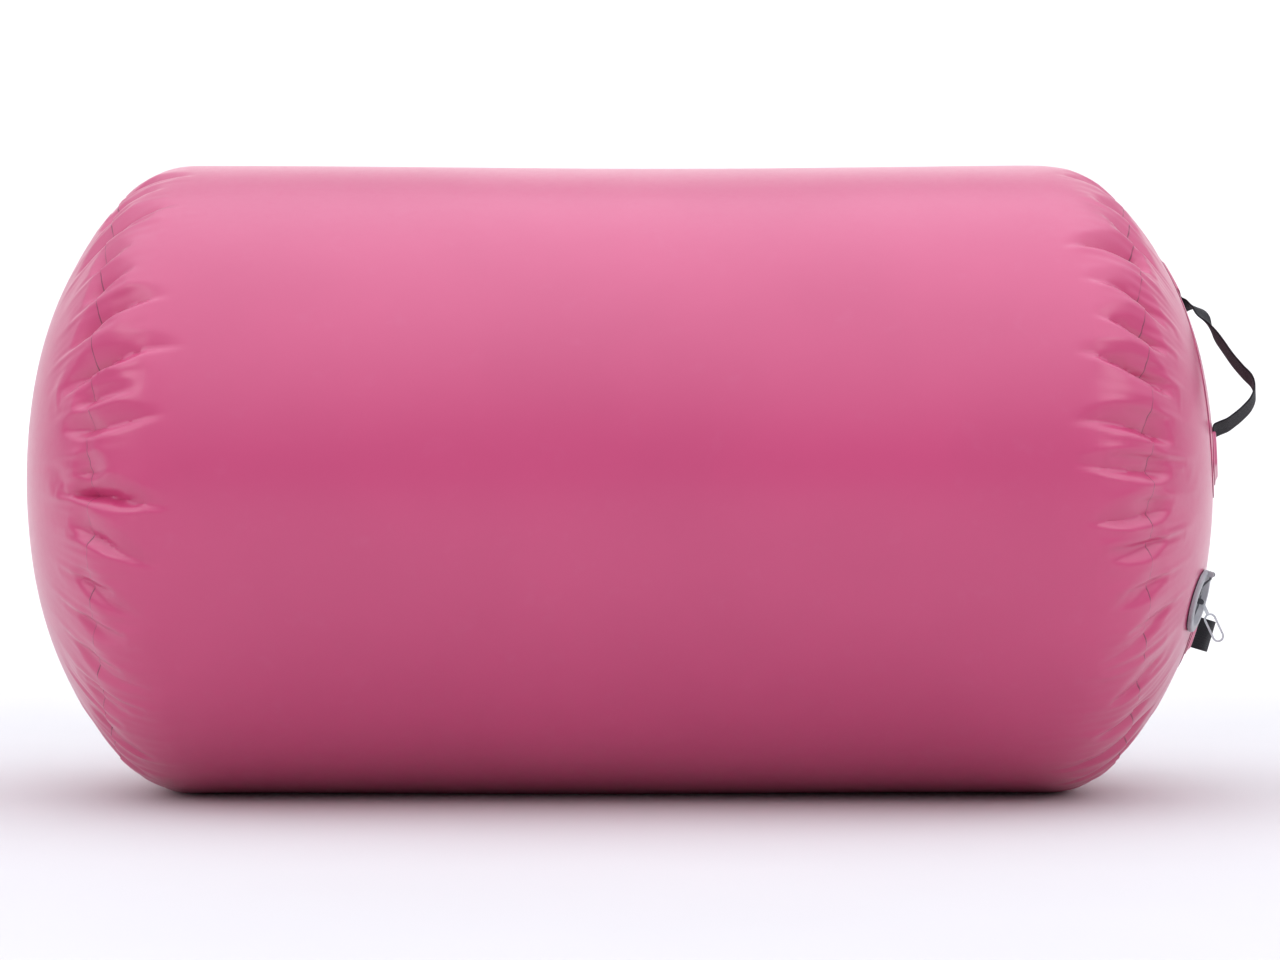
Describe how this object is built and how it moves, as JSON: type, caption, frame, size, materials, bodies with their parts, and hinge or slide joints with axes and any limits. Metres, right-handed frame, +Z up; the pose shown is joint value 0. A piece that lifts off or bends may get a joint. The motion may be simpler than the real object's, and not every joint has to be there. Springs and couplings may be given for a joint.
{
  "type": "inflatable gymnastics roll",
  "caption": "Inflated PVC barrel with domed ends, webbing carry handles and a capped air valve on one end, for gymnastics practice.",
  "frame": {"origin": "middle of the flat strip that the roll rests on", "axes": "+X along the roll towards the valve end, +Z up"},
  "size_m": [1.1578, 0.5998, 0.5983],
  "materials": {
    "pvc": "satin",
    "webbing": "matte",
    "valve_plastic": "satin",
    "seal_rubber": "matte",
    "clear_plastic": "gloss",
    "spring_steel": "satin"
  },
  "bodies": {
    "roll": {"wall_panel": "pvc", "wall_seam_tape": "pvc", "left_end_panel": "pvc", "right_end_panel": "pvc", "valve_doubler": "pvc", "valve_gasket": "seal_rubber", "valve_body": "valve_plastic", "valve_back_nut": "valve_plastic", "valve_spring": "spring_steel", "handle_1_base_patch": "pvc", "handle_1_webbing_end_a": "webbing", "handle_1_webbing_end_b": "webbing", "handle_1_cover_patch_a": "pvc", "handle_1_cover_patch_b": "pvc", "handle_2_base_patch": "pvc", "handle_2_webbing_end_a": "webbing", "handle_2_webbing_end_b": "webbing", "handle_2_cover_patch_a": "pvc", "handle_2_cover_patch_b": "pvc"},
    "valve_plunger": {"valve_diaphragm": "seal_rubber"},
    "valve_plunger_core": {"valve_stem": "valve_plastic", "valve_button": "valve_plastic", "diaphragm_retainer": "valve_plastic"},
    "valve_cap": {"valve_cap": "valve_plastic", "cap_seal": "seal_rubber", "cap_tether": "valve_plastic"},
    "pull_loop": {"pull_loop": "clear_plastic"},
    "handle_1_bow": {"handle_1_webbing": "webbing"},
    "handle_2_bow": {"handle_2_webbing": "webbing"}
  },
  "joints": [
    {"name": "plunger_press", "type": "slide", "parent": "roll", "child": "valve_plunger", "axis": [-0.9064, 0.3357, 0.2563], "range_m": [0, 0.006], "stiffness_N_per_m": 250, "springref_m": -0.003, "deforming": ["valve_spring"]},
    {"name": "plunger_turn", "type": "hinge", "parent": "valve_plunger", "child": "valve_plunger_core", "pos_m": [0.53006, -0.1315, 0.18767], "axis": [-0.9064, 0.3357, 0.2563], "range_deg": [0, 90]},
    {"name": "cap_flip", "type": "hinge", "parent": "roll", "child": "valve_cap", "pos_m": [0.5435, -0.13647, 0.21129], "axis": [-0.3473, -0.9378, 0], "range_deg": [0, 120]},
    {"name": "pull_loop_swing", "type": "hinge", "parent": "valve_cap", "child": "pull_loop", "pos_m": [0.53504, -0.13334, 0.18626], "axis": [-0.3473, -0.9378, 0], "range_deg": [-20, 40], "stiffness_Nm_per_rad": 0.004},
    {"name": "handle_1_swing", "type": "hinge", "parent": "roll", "child": "handle_1_bow", "pos_m": [0.55747, -0.06724, 0.40699], "axis": [-0.1264, 0.4274, 0.8952], "range_deg": [-55, 55], "stiffness_Nm_per_rad": 0.03},
    {"name": "handle_2_swing", "type": "hinge", "parent": "roll", "child": "handle_2_bow", "pos_m": [0.55237, 0.03066, 0.15212], "axis": [-0.058, 0.9982, 0.0175], "range_deg": [-55, 55], "stiffness_Nm_per_rad": 0.03}
  ]
}
